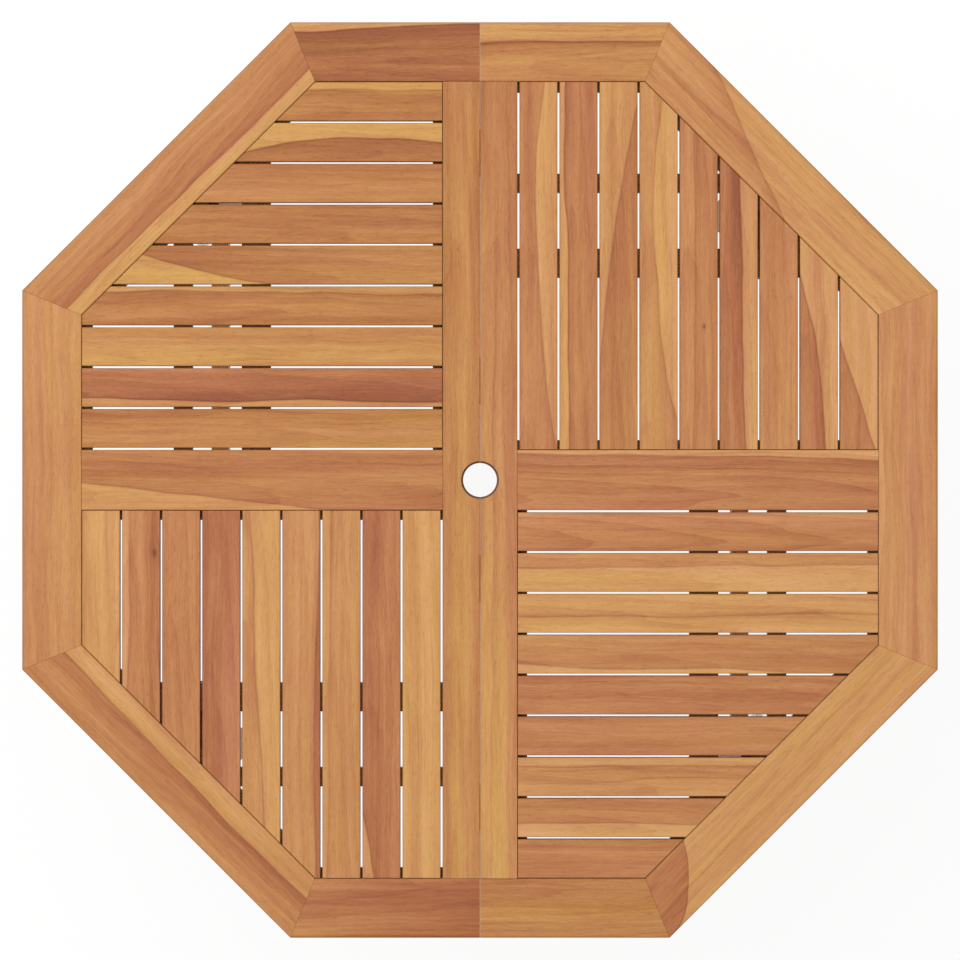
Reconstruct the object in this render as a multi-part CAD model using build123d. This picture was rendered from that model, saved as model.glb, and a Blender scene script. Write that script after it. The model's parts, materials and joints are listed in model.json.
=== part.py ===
from build123d import *
import os
from math import cos, hypot, radians, sin, sqrt

# Octagonal folding garden table in oiled teak.
# Frame: origin on the floor under the parasol hole, +Z up, the seam between the two half tops along Y.
# Left is -X and front is -Y. The right half top is the left one turned half a turn about Z.

# Whole table
across_flats = 1200.0
table_height = 750.0
seam_gap = 0.2
parasol_hole_radius = 23.5

# Boards of the top
board_thickness = 30.0
outer_rail_width = 78.0
stile_width = 48.9
middle_rail_width = 79.0
outer_edge_round = 4.0
board_arris = 1.5

# Rebated lips that carry the slats
lip_width = 13.0
slat_thickness = 18.0

# Slats in each quadrant
slat_count = 9
slat_gap = 2.8
slat_clearance = 0.6

# Battens under the slats, placed by the distance of their centre lines from the pivots
wide_batten_width = 38.0
rear_wide_setback = 72.0
front_wide_setback = 81.0
narrow_batten_width = 25.0
narrow_batten_setout = 24.0
batten_thickness = 22.0
swing_clearance = 5.0

# Joints of the frame: stub tenons, and dowels across the mitres
tenon_length = 18.0
tenon_thickness = 8.0
tenon_shoulder = 8.0
joint_clearance = 0.15
dowel_radius = 5.0
dowel_length = 60.0
dowel_spacing = 32.0

# Pivots of the leg frames: a bolt through a block under the battens and through the leg
pivot_drop = 20.0
block_width = 44.0
block_thickness = 42.0
square_block_length = 90.0
block_chamfer = 4.0
bolt_radius = 4.0
bolt_fit = 0.06
bolt_head_radius = 10.0
bolt_head_height = 4.5
bolt_neck_length = 6.0
bolt_tip = 2.0
counterbore_radius = 13.0
washer_radius = 12.0
washer_thickness = 1.6
washer_play = 0.4
nut_across_flats = 13.0
nut_height = 6.5

# Leg frames, each leg standing under a diagonal rail and a little nearer the front or rear than the side
leg_inset = 71.4
leg_skew = 15.5
leg_size = 45.0
leg_top_clearance = 0.5
leg_edge_round = 3.0
foot_chamfer = 2.0
stretcher_thickness = 24.0
stretcher_height = 60.0
stretcher_bottom = 170.0
stretcher_tenon_length = 32.0
stretcher_tenon_thickness = 12.0
stretcher_tenon_shoulder = 10.0
peg_radius = 4.0
peg_setback = 16.0

# Butt hinges under the seam
hinge_middle_offset = 130.0
hinge_end_inset = 170.0
hinge_length = 60.0
hinge_plate_width = 30.0
hinge_plate_thickness = 2.0
hinge_axis_drop = 3.8
knuckle_radius = 3.4
knuckle_count = 5
knuckle_gap = 0.4
knuckle_relief = 4.5
hinge_pin_radius = 1.8
hinge_pin_fit = 0.05
pin_head_radius = 2.8
pin_head_height = 1.2
hinge_screw_x = 19.0
hinge_screw_y = 20.0

# Turn plates that lock the seam
turn_plate_offset = 250.0
turn_plate_reach = 52.0
turn_plate_width = 18.0
turn_plate_thickness = 3.0
turn_plate_clearance = 0.3
turn_screw_radius = 2.5
turn_screw_fit = 0.08
turn_screw_head_radius = 5.5
turn_screw_head_height = 2.8
turn_screw_depth = 18.0

# Wood screws
screw_radius = 2.0
screw_head_radius = 4.0
screw_head_height = 2.2
slat_screw_bite = 10.0
block_screw_bite = 16.0
block_screw_inset = 13.0
block_screw_setoff = 11.0
hinge_screw_bite = 14.0

# Places worked out from the sizes above
half_across = across_flats / 2
top_z = table_height
board_z = top_z - board_thickness
slat_z = top_z - slat_thickness
batten_z = slat_z - batten_thickness
block_z = batten_z - block_thickness
pivot_z = batten_z - pivot_drop
hinge_z = board_z - hinge_axis_drop
tenon_z = (slat_z + top_z) / 2
panel_edge = half_across - outer_rail_width
lip_edge = panel_edge - lip_width
lip_diagonal = lip_edge * sqrt(2)
seam_edge = seam_gap / 2
stile_edge = seam_edge + stile_width
stile_middle = seam_edge + stile_width / 2
middle_edge = middle_rail_width / 2
leg_reach = (half_across - leg_inset) * sqrt(2)
pivot_x = (leg_reach - leg_skew) / 2
leg_inner_y = (leg_reach + leg_skew - leg_size) / 2
leg_outer_y = leg_inner_y + leg_size
block_outer_y = leg_inner_y - washer_play - washer_thickness
block_inner_y = block_outer_y - block_width
rear_wide = pivot_x - rear_wide_setback
front_wide = pivot_x - front_wide_setback
narrow_batten = pivot_x + narrow_batten_setout
rear_wide_inner = rear_wide - wide_batten_width / 2
front_wide_inner = front_wide - wide_batten_width / 2
narrow_outer = narrow_batten + narrow_batten_width / 2
leg_top = board_z - leg_top_clearance
leg_head = leg_top - pivot_z
leg_swing = hypot(leg_size / 2, leg_head)
stretcher_z = stretcher_bottom + stretcher_height / 2
hinge_end_offset = half_across - hinge_end_inset
hinge_offsets = (-hinge_end_offset, -hinge_middle_offset, hinge_middle_offset, hinge_end_offset)
corner_angle = 22.5
standing = (Align.CENTER, Align.CENTER, Align.MIN)


def block(first, last, clearance=0.0):
    """Rectangular block between two opposite corners, grown by a clearance on every side."""
    sizes = [abs(b - a) + 2 * clearance for a, b in zip(first, last)]
    middle = [(a + b) / 2 for a, b in zip(first, last)]
    return Pos(*middle) * Box(*sizes)


def octagon(apothem, bottom, top):
    """Upright octagonal prism with flats facing the X and Y axes."""
    outline = RegularPolygon(apothem, 8, major_radius=False, rotation=corner_angle)
    return extrude(Plane.XY.offset(bottom) * outline, top - bottom)


def rod(radius, start, end):
    """Round rod between two points."""
    path = Vector(*end) - Vector(*start)
    return extrude(Plane(origin=start, z_dir=path) * Circle(radius), path.length)


def dome(radius, height):
    """Shallow round head standing on the XY plane."""
    ball = (radius ** 2 + height ** 2) / (2 * height)
    return (Pos(0, 0, height - ball) * Sphere(ball)) & block((-ball, -ball, 0), (ball, ball, height))


def wood_screw(length, clearance=0.0):
    """Countersunk screw pointing up from the XY plane. A clearance makes its hole."""
    head = Cone(screw_head_radius + clearance, screw_radius + clearance, screw_head_height, align=standing)
    return head + Cylinder(screw_radius + clearance, length + clearance, align=standing)


def half_turn(shape):
    """A shape of the left side turned about Z into its place on the right side."""
    return Rot(0, 0, 180) * shape


def outer_rail_bar():
    """Straight rebated rail with its outer face towards +X, longer than any side."""
    corners = [(half_across, board_z), (half_across, top_z), (panel_edge, top_z),
               (panel_edge, slat_z), (lip_edge, slat_z), (lip_edge, board_z)]
    section = make_face(Plane.XZ * Polyline(*corners, close=True))
    bar = extrude(section, half_across, both=True)
    bar = fillet(bar.edges().filter_by(Axis.Y).group_by(Axis.X)[-1], outer_edge_round)
    inner_edge = bar.edges().filter_by(Axis.Y).group_by(Axis.Z)[-1].sort_by(Axis.X)[0]
    return chamfer(inner_edge, board_arris)


def wedge(first_angle, last_angle):
    """Upright wedge between two radial planes through the table's middle."""
    corners = [(0, 0)]
    for angle in (first_angle, last_angle):
        corners.append((across_flats * cos(radians(angle)), across_flats * sin(radians(angle))))
    return extrude(Plane.XY.offset(batten_z) * make_face(Polyline(*corners, close=True)), table_height)


def mitred_rail(facing, first_angle, last_angle):
    """Outer rail facing an angle, cut along the mitres it shares with its neighbours."""
    return (Rot(0, 0, facing) * outer_rail_bar()) & wedge(first_angle, last_angle)


def mitre_dowels(clearance=0.0):
    """Two dowels across each of the four mitres of the left half top."""
    mitre_middle = (half_across + panel_edge) / 2 / cos(radians(corner_angle))
    dowel_z = (board_z + top_z) / 2
    half_length = dowel_length / 2 + clearance
    rods = []
    for corner in range(4):
        turn = Rot(0, 0, 90 + corner_angle + 45 * corner)
        for reach in (mitre_middle - dowel_spacing / 2, mitre_middle + dowel_spacing / 2):
            ends = ((reach, -half_length, dowel_z), (reach, half_length, dowel_z))
            rods.append(turn * rod(dowel_radius + clearance, *ends))
    return rods


def stile_tenons(clearance=0.0):
    """Stub tenons at both ends of the left centre stile."""
    half_thick = tenon_thickness / 2
    tenons = []
    for side in (-1, 1):
        root = (-stile_edge + tenon_shoulder, side * panel_edge, tenon_z - half_thick)
        tip = (-seam_edge - tenon_shoulder, side * (panel_edge + tenon_length), tenon_z + half_thick)
        tenons.append(block(root, tip, clearance))
    return tenons


def middle_rail_tenons(clearance=0.0):
    """Stub tenons of the left middle rail, into the side rail and into the stile."""
    half_thick = tenon_thickness / 2
    half_wide = middle_edge - tenon_shoulder
    tenons = []
    for root, tip in ((-panel_edge, -panel_edge - tenon_length), (-stile_edge, -stile_edge + tenon_length)):
        first = (root, -half_wide, tenon_z - half_thick)
        tenons.append(block(first, (tip, half_wide, tenon_z + half_thick), clearance))
    return tenons


def slat_edges(inner_edge):
    """Near and far edge of each slat, counted from a frame board out to the outer rail."""
    pitch = (panel_edge - slat_clearance - inner_edge) / slat_count
    return [(inner_edge + slat_gap + i * pitch, inner_edge + (i + 1) * pitch) for i in range(slat_count)]


def slat(first, last, long_axis):
    """One slat with eased top edges, its outer end cut to the outline of the frame."""
    bar = block(first, last)
    bar = chamfer(bar.edges().filter_by(long_axis).group_by(Axis.Z)[-1], board_arris)
    return bar & octagon(panel_edge - slat_clearance, slat_z, top_z)


def rear_slats():
    """Slats of the left rear quadrant, lying along X."""
    inner_end = -stile_edge - slat_clearance
    rows = slat_edges(middle_edge)
    return [slat((inner_end, near, slat_z), (-panel_edge, far, top_z), Axis.X) for near, far in rows]


def front_slats():
    """Slats of the left front quadrant, lying along Y."""
    inner_end = -middle_edge - slat_clearance
    rows = slat_edges(stile_edge)
    return [slat((-near, inner_end, slat_z), (-far, -panel_edge, top_z), Axis.Y) for near, far in rows]


def batten_end(offset, width):
    """How far a batten keeps its full width before it meets the diagonal lip."""
    return lip_diagonal - offset - width / 2


narrow_end = batten_end(narrow_batten, narrow_batten_width)
short_end = pivot_x - leg_swing - swing_clearance


def batten(first, last):
    """Batten under the slats, cut where it meets the lip of the frame."""
    return block((*first, batten_z), (*last, slat_z)) & octagon(lip_edge, batten_z, slat_z)


def rear_batten(offset, width):
    """Batten of the left rear quadrant, running along Y from the middle rail."""
    return batten((-offset - width / 2, middle_edge), (-offset + width / 2, lip_edge))


def front_batten(offset, width, end):
    """Batten of the left front quadrant, running along X from the stile."""
    return batten((-stile_edge, -offset - width / 2), (-end, -offset + width / 2))


def slat_screw_places(inner_edge, wide_batten):
    """Pairs of slat middle and batten centre line where a batten is screwed to a slat."""
    wide_end = batten_end(wide_batten, wide_batten_width)
    places = []
    for near, far in slat_edges(inner_edge):
        middle = (near + far) / 2
        for offset, end in ((wide_batten, wide_end), (narrow_batten, min(narrow_end, short_end))):
            if middle + screw_head_radius < end:
                places.append((middle, offset))
    return places


def slat_screws(clearance=0.0):
    """Screws that hold the slats of the left half top to their battens, in rear and front groups."""
    screw = wood_screw(batten_thickness + slat_screw_bite, clearance)
    rear = [Pos(-offset, y, batten_z) * screw for y, offset in slat_screw_places(middle_edge, rear_wide)]
    front = [Pos(-x, -offset, batten_z) * screw for x, offset in slat_screw_places(stile_edge, front_wide)]
    return rear, front


def block_screws(clearance=0.0):
    """Screws that hold the two pivot blocks of the left half top to the wide battens."""
    screw = wood_screw(block_thickness + block_screw_bite, clearance)
    rear_line = rear_wide + block_screw_setoff
    front_line = front_wide + block_screw_setoff
    rear = [Pos(-rear_line, y, block_z) * screw
            for y in (block_inner_y + block_screw_inset, block_outer_y - block_screw_inset)]
    reach = square_block_length / 2 - block_screw_inset
    front = [Pos(-pivot_x + dx, -front_line, block_z) * screw for dx in (-reach, reach)]
    return rear, front


def eased_block(first, last):
    """Pivot block with its lower edges chamfered."""
    shape = block((*first, block_z), (*last, batten_z))
    return chamfer(shape.faces().sort_by(Axis.Z)[0].edges(), block_chamfer)


def bolt_hole(side):
    """Hole for a pivot bolt on the left: a round hole with a square socket at the head."""
    start = (-pivot_x, 0, pivot_z)
    neck_end = side * (block_inner_y + bolt_neck_length)
    socket = ((-pivot_x - bolt_radius, side * block_inner_y, pivot_z - bolt_radius),
              (-pivot_x + bolt_radius, neck_end, pivot_z + bolt_radius))
    hole = rod(bolt_radius + bolt_fit, start, (-pivot_x, side * half_across, pivot_z))
    return hole + block(*socket, bolt_fit)


def rear_pivot_block():
    """Long block across the two rear battens."""
    shape = eased_block((-narrow_outer, block_inner_y), (-rear_wide_inner, block_outer_y))
    return shape - bolt_hole(1) - block_screws(joint_clearance)[0]


def front_pivot_block():
    """Square block under the wide front batten, counterbored for the bolt head."""
    half = square_block_length / 2
    shape = eased_block((-pivot_x - half, -front_wide_inner), (-pivot_x + half, -block_outer_y))
    mouth = (-pivot_x, -front_wide_inner + block_chamfer, pivot_z)
    counterbore = rod(counterbore_radius, mouth, (-pivot_x, -block_inner_y, pivot_z))
    return shape - counterbore - bolt_hole(-1) - block_screws(joint_clearance)[1]


def pivot_bolt(side):
    """Round-headed bolt with a square neck, through the block and the leg."""
    head_y = side * block_inner_y
    tip_y = side * (leg_outer_y + washer_play + washer_thickness + nut_height + bolt_tip)
    neck = block((-pivot_x - bolt_radius, head_y, pivot_z - bolt_radius),
                 (-pivot_x + bolt_radius, side * (block_inner_y + bolt_neck_length), pivot_z + bolt_radius))
    head = Plane(origin=(-pivot_x, head_y, pivot_z), z_dir=(0, -side, 0)) * dome(
        bolt_head_radius, bolt_head_height)
    return rod(bolt_radius, (-pivot_x, head_y, pivot_z), (-pivot_x, tip_y, pivot_z)) + neck + head


def pivot_washers(side):
    """Washers between block and leg, and between leg and nut."""
    washers = []
    for inner in (block_outer_y, leg_outer_y + washer_play):
        start = (-pivot_x, side * inner, pivot_z)
        end = (-pivot_x, side * (inner + washer_thickness), pivot_z)
        washers.append(rod(washer_radius, start, end) - rod(bolt_radius + bolt_fit, start, end))
    return washers


def pivot_nut(side):
    """Hexagon nut on the end of a pivot bolt."""
    seat = leg_outer_y + washer_play + washer_thickness
    plane = Plane(origin=(-pivot_x, side * seat, pivot_z), x_dir=(1, 0, 0), z_dir=(0, side, 0))
    hexagon = RegularPolygon(nut_across_flats / 2, 6, major_radius=False)
    return extrude(plane * (hexagon - Circle(bolt_radius + bolt_fit)), nut_height)


def stretcher_tenon(side, clearance=0.0):
    """Tenon at one end of the left stretcher."""
    half_thick = stretcher_tenon_thickness / 2
    half_high = stretcher_height / 2 - stretcher_tenon_shoulder
    end_y = leg_inner_y + stretcher_tenon_length
    return block((-pivot_x - half_thick, side * leg_inner_y, stretcher_z - half_high),
                 (-pivot_x + half_thick, side * end_y, stretcher_z + half_high), clearance)


def stretcher_peg(side, clearance=0.0):
    """Wooden peg through a leg and the stretcher tenon inside it."""
    y = side * (leg_inner_y + peg_setback)
    return rod(peg_radius + clearance, (-pivot_x - leg_size / 2, y, stretcher_z),
               (-pivot_x + leg_size / 2, y, stretcher_z))


def leg(side):
    """Square leg whose head is rounded about the pivot on the outer side, so that it can swing."""
    half = leg_size / 2
    bar = block((-pivot_x - half, side * leg_inner_y, 0), (-pivot_x + half, side * leg_outer_y, leg_top))
    bar = fillet(bar.edges().filter_by(Axis.Z), leg_edge_round)
    bar = chamfer(bar.faces().sort_by(Axis.Z)[0].edges(), foot_chamfer)
    outer_corner = block((-pivot_x - leg_size, side * leg_inner_y, pivot_z),
                         (-pivot_x, side * leg_outer_y, pivot_z + leg_size))
    head = rod(leg_head, (-pivot_x, side * leg_inner_y, pivot_z), (-pivot_x, side * leg_outer_y, pivot_z))
    pivot_hole = rod(bolt_radius + bolt_fit, (-pivot_x, side * leg_inner_y, pivot_z),
                     (-pivot_x, side * leg_outer_y, pivot_z))
    mortise = stretcher_tenon(side, joint_clearance)
    return bar - (outer_corner - head) - pivot_hole - mortise - stretcher_peg(side, joint_clearance)


def stretcher():
    """Low rail that joins the two legs of the left frame."""
    half = stretcher_thickness / 2
    bar = block((-pivot_x - half, -leg_inner_y, stretcher_bottom),
                (-pivot_x + half, leg_inner_y, stretcher_bottom + stretcher_height))
    bar = fillet(bar.edges().filter_by(Axis.Y), leg_edge_round)
    for side in (-1, 1):
        bar = bar + stretcher_tenon(side) - stretcher_peg(side, joint_clearance)
    return bar


def hinge_screws(side, clearance=0.0):
    """Screws of the hinge plates on one side of the seam."""
    screw = wood_screw(hinge_plate_thickness + hinge_screw_bite, clearance)
    plate_z = board_z - hinge_plate_thickness
    return [Pos(side * hinge_screw_x, middle + dy, plate_z) * screw
            for middle in hinge_offsets for dy in (-hinge_screw_y, hinge_screw_y)]


def hinge_plates(side, first_knuckle):
    """Hinge plates on one side of the seam, with every second knuckle of each barrel."""
    plate_z = board_z - hinge_plate_thickness
    spacing = hinge_length / knuckle_count
    half = (spacing - knuckle_gap) / 2
    plates = []
    for middle in hinge_offsets:
        plate = block((side * knuckle_relief, middle - hinge_length / 2, plate_z),
                      (side * hinge_plate_width, middle + hinge_length / 2, board_z))
        for number in range(first_knuckle, knuckle_count, 2):
            y = middle + (number + 0.5) * spacing - hinge_length / 2
            plate += block((side * seam_edge, y - half, plate_z), (side * knuckle_relief, y + half, board_z))
            plate += rod(knuckle_radius, (0, y - half, hinge_z), (0, y + half, hinge_z))
        plate -= rod(hinge_pin_radius + hinge_pin_fit, (0, middle - hinge_length, hinge_z),
                     (0, middle + hinge_length, hinge_z))
        plates.append(plate - hinge_screws(side, joint_clearance))
    return plates


def hinge_pins():
    """Pins of the seam hinges, peened over at both ends."""
    pins = []
    for middle in hinge_offsets:
        ends = [middle - hinge_length / 2, middle + hinge_length / 2]
        pin = rod(hinge_pin_radius, (0, ends[0], hinge_z), (0, ends[1], hinge_z))
        for y, way in zip(ends, (-1, 1)):
            pin += rod(pin_head_radius, (0, y, hinge_z), (0, y + way * pin_head_height, hinge_z))
        pins.append(pin)
    return pins


turn_plate_top = board_z - turn_plate_clearance
turn_plate_bottom = turn_plate_top - turn_plate_thickness
turn_head_z = turn_plate_bottom - turn_plate_clearance


def turn_plate(side):
    """Brass plate under the left stile that turns across the seam to lock it."""
    pivot = (-stile_middle, side * turn_plate_offset)
    outline = Pos(pivot[0], pivot[1] + side * turn_plate_reach / 2) * (
        Rot(0, 0, 90) * SlotCenterToCenter(turn_plate_reach, turn_plate_width))
    outline -= Pos(*pivot) * Circle(turn_screw_radius + turn_screw_fit)
    return extrude(Plane.XY.offset(turn_plate_bottom) * outline, turn_plate_thickness)


def turn_screw(side, clearance=0.0):
    """Round-headed screw on which a turn plate turns."""
    x = -stile_middle
    y = side * turn_plate_offset
    shank = rod(turn_screw_radius + clearance, (x, y, turn_head_z), (x, y, board_z + turn_screw_depth))
    head = Plane(origin=(x, y, turn_head_z), z_dir=(0, 0, -1)) * dome(
        turn_screw_head_radius, turn_screw_head_height)
    return shank + head


def centre_stile(side_of_seam):
    """Left stile: lapped over the end rails' lips, with a lip for the rear slats and half the hole."""
    shape = block((-stile_edge, -panel_edge, board_z), (-seam_edge, panel_edge, top_z))
    shape += block((-stile_edge - lip_width, middle_edge, board_z), (-stile_edge, lip_edge, slat_z))
    for side in (-1, 1):
        shape -= block((-stile_edge, side * lip_edge, board_z), (-seam_edge, side * panel_edge, slat_z))
    shape = shape + stile_tenons() - middle_rail_tenons(joint_clearance)
    shape -= rod(parasol_hole_radius, (0, 0, board_z), (0, 0, top_z))
    if side_of_seam < 0:
        turn_screws = [turn_screw(side, joint_clearance) for side in (-1, 1)]
        return shape - hinge_screws(-1, joint_clearance) - turn_screws
    return half_turn(shape) - hinge_screws(1, joint_clearance)


def middle_rail():
    """Left middle rail: lapped over the side rail's lip, with a lip for the front slats."""
    shape = block((-panel_edge, -middle_edge, board_z), (-stile_edge, middle_edge, top_z))
    shape += block((-lip_edge, -middle_edge - lip_width, board_z), (-stile_edge, -middle_edge, slat_z))
    shape -= block((-panel_edge, -middle_edge, board_z), (-lip_edge, middle_edge, slat_z))
    return shape + middle_rail_tenons()


def half_top_boards():
    """Boards of the left half top by name, with front and rear as on the left side."""
    dowel_holes = mitre_dowels(joint_clearance)
    stile_mortises = stile_tenons(joint_clearance)
    rail_mortises = middle_rail_tenons(joint_clearance)
    rear_holes, front_holes = slat_screws(joint_clearance)
    rear_block_holes, front_block_holes = block_screws(joint_clearance)
    left_of_seam = block((-across_flats, -across_flats, batten_z), (-seam_edge, across_flats, top_z))
    rear_end = mitred_rail(90, 90, 90 + corner_angle) & left_of_seam
    front_end = mitred_rail(270, 270 - corner_angle, 270) & left_of_seam
    rear_wide_batten = rear_batten(rear_wide, wide_batten_width)
    front_wide_batten = front_batten(front_wide, wide_batten_width, lip_edge)
    narrow = (narrow_batten, narrow_batten_width)
    return {
        "rear_end_rail": rear_end - dowel_holes - stile_mortises,
        "rear_diagonal_rail": mitred_rail(135, 90 + corner_angle, 180 - corner_angle) - dowel_holes,
        "side_rail": mitred_rail(180, 180 - corner_angle, 180 + corner_angle) - dowel_holes - rail_mortises,
        "front_diagonal_rail": mitred_rail(225, 180 + corner_angle, 270 - corner_angle) - dowel_holes,
        "front_end_rail": front_end - dowel_holes - stile_mortises,
        "middle_rail": middle_rail(),
        "rear_slats": [board - rear_holes for board in rear_slats()],
        "front_slats": [board - front_holes for board in front_slats()],
        "rear_wide_batten": rear_wide_batten - rear_holes - rear_block_holes,
        "rear_narrow_batten": rear_batten(*narrow) - rear_holes,
        "front_wide_batten": front_wide_batten - front_holes - front_block_holes,
        "front_narrow_batten": front_batten(*narrow, short_end) - front_holes,
        "rear_pivot_block": rear_pivot_block(),
        "front_pivot_block": front_pivot_block(),
        "mitre_dowels": mitre_dowels(),
        "slat_screws": sum(slat_screws(), []),
        "block_screws": sum(block_screws(), []),
        "pivot_bolts": [pivot_bolt(side) for side in (-1, 1)],
        "pivot_washers": pivot_washers(-1) + pivot_washers(1),
        "pivot_nuts": [pivot_nut(side) for side in (-1, 1)],
        "front_leg": leg(-1),
        "rear_leg": leg(1),
        "stretcher": stretcher(),
        "stretcher_pegs": [stretcher_peg(side) for side in (-1, 1)],
    }


def turned_name(name):
    """Name that a left piece takes on the right side, where front and rear change places."""
    if name.startswith("front_"):
        return "rear_" + name.removeprefix("front_")
    if name.startswith("rear_"):
        return "front_" + name.removeprefix("rear_")
    return name


def save(node, shape):
    """Write one node: a single piece, or a group of like pieces."""
    if isinstance(shape, list):
        shape = Compound(children=shape)
    export_step(shape, f"parts/{node}.step")


os.makedirs("parts", exist_ok=True)

for name, shape in half_top_boards().items():
    save("left_" + name, shape)
    pieces = shape if isinstance(shape, list) else [shape]
    turned = [half_turn(piece) for piece in pieces]
    save("right_" + turned_name(name), turned if isinstance(shape, list) else turned[0])

for label, side, first_knuckle in (("left", -1, 0), ("right", 1, 1)):
    save(label + "_centre_stile", centre_stile(side))
    save(label + "_hinge_plates", hinge_plates(side, first_knuckle))
    save(label + "_hinge_screws", hinge_screws(side))

save("hinge_pins", hinge_pins())
save("turn_plate_screws", [turn_screw(side) for side in (-1, 1)])
save("front_turn_plate", turn_plate(-1))
save("rear_turn_plate", turn_plate(1))
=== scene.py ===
import json
from math import asin, cos, hypot, pi, radians, sin

import bmesh
import bpy
from mathutils import Matrix, Vector


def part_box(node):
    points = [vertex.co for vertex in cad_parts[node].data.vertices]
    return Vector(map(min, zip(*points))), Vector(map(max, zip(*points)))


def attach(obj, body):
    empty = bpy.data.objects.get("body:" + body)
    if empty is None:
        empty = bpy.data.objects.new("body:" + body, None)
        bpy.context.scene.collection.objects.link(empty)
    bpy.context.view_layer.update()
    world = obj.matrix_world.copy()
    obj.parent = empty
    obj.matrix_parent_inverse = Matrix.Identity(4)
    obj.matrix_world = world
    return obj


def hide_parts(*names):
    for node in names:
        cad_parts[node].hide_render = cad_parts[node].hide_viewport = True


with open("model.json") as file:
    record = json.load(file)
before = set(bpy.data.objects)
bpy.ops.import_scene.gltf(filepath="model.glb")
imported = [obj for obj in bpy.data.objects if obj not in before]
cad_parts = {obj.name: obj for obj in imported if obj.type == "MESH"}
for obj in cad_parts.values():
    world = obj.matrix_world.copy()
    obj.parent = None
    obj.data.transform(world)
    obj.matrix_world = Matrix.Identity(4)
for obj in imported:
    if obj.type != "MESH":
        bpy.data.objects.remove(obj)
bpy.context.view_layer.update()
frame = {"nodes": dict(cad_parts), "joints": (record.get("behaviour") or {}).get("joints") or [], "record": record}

# Outer rails: ten teak boards that make the octagonal rim, mitred at the corners and split at the seam.
# Each has a rebated lip along its inner edge for the slats, rounded outer edges and an oiled finish.
# The grain of every board is a solid pattern in the board's own length, width and thickness.
RAIL_WIDTH = 0.078
OUTER_ROUND = 0.004
ARRIS = 0.0012
JOINT_ARRIS = 0.0004
MITRE_ANGLE = radians(22.5)
TOLERANCE = 1e-5


def put(tree, socket, value):
    """Sets a socket to a plain value, or links it to another node's output."""
    if isinstance(value, bpy.types.NodeSocket):
        tree.links.new(value, socket)
    else:
        socket.default_value = value


def math(tree, operation, *values):
    """One Math node."""
    node = tree.nodes.new("ShaderNodeMath")
    node.operation = operation
    for socket, value in zip(node.inputs, values):
        put(tree, socket, value)
    return node.outputs[0]


def add_shares(tree, start, *parts):
    """A start value plus shares of other values, each given as (value, share)."""
    total = start
    for value, share in parts:
        total = math(tree, "MULTIPLY_ADD", value, share, total)
    return total


def vector_math(tree, operation, first, second):
    """One Vector Math node; a third vector that the operation takes is (1, 1, 1)."""
    node = tree.nodes.new("ShaderNodeVectorMath")
    node.operation = operation
    put(tree, node.inputs[0], first)
    put(tree, node.inputs[1], second)
    node.inputs[2].default_value = (1.0, 1.0, 1.0)
    return node.outputs[0]


def split(tree, vector):
    """The three parts of a vector."""
    node = tree.nodes.new("ShaderNodeSeparateXYZ")
    put(tree, node.inputs[0], vector)
    return node.outputs


def join(tree, x, y, z):
    """A vector from three parts."""
    node = tree.nodes.new("ShaderNodeCombineXYZ")
    for socket, value in zip(node.inputs, (x, y, z)):
        put(tree, socket, value)
    return node.outputs[0]


def noise(tree, place, stretch, detail):
    """Noise between about -0.5 and 0.5, stretched along the board."""
    node = tree.nodes.new("ShaderNodeTexNoise")
    node.inputs["Scale"].default_value = 1.0
    node.inputs["Detail"].default_value = detail
    put(tree, node.inputs["Vector"], vector_math(tree, "MULTIPLY", place, stretch))
    return math(tree, "SUBTRACT", node.outputs["Fac"], 0.5)


def ease_between(tree, value, low, high):
    """0 below low, 1 above high, and a smooth step between."""
    node = tree.nodes.new("ShaderNodeMapRange")
    node.interpolation_type = "SMOOTHSTEP"
    put(tree, node.inputs["Value"], value)
    node.inputs["From Min"].default_value = low
    node.inputs["From Max"].default_value = high
    return node.outputs["Result"]


def ramp(tree, value, stops):
    """Colour ramp through (position, linear colour) stops."""
    node = tree.nodes.new("ShaderNodeValToRGB")
    elements = node.color_ramp.elements
    while len(elements) < len(stops):
        elements.new(0.5)
    for element, (position, colour) in zip(elements, stops):
        element.position = position
        element.color = (*colour, 1.0)
    put(tree, node.inputs["Fac"], value)
    return node.outputs["Color"]


def node_group(name, inputs, outputs):
    """An empty shader node group with its sockets."""
    tree = bpy.data.node_groups.new(name, "ShaderNodeTree")
    for label, kind in inputs:
        tree.interface.new_socket(label, in_out="INPUT", socket_type=f"NodeSocket{kind}")
    for label, kind in outputs:
        tree.interface.new_socket(label, in_out="OUTPUT", socket_type=f"NodeSocket{kind}")
    return tree, tree.nodes.new("NodeGroupInput").outputs, tree.nodes.new("NodeGroupOutput").inputs


# Colours of oiled teak and how lines, veins, knots, pores and end grain darken them; painted shade darkens edges
# and the hole.
HONEY_TO_RUSSET = (
    (0.00, (0.750, 0.406, 0.172)),
    (0.28, (0.630, 0.318, 0.106)),
    (0.52, (0.525, 0.226, 0.079)),
    (0.76, (0.420, 0.149, 0.052)),
    (1.00, (0.300, 0.090, 0.033)),
)
ROSY_TINT = (0.01, -0.05, 0.17)
ROSY_SPREAD = 2.7
LINE_STAIN = (-0.36, -0.46, -0.52)
VEIN_STAIN = (-0.14, -0.19, -0.24)
KNOT_STAIN = (-0.55, -0.64, -0.66)
PORE_SHADE = -0.22
PAINTED_EDGE_SHADE = -0.24
END_GRAIN_AND_PAINTED_HOLE_SHADE = -0.34
OIL_ROUGHNESS = 0.52
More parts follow.
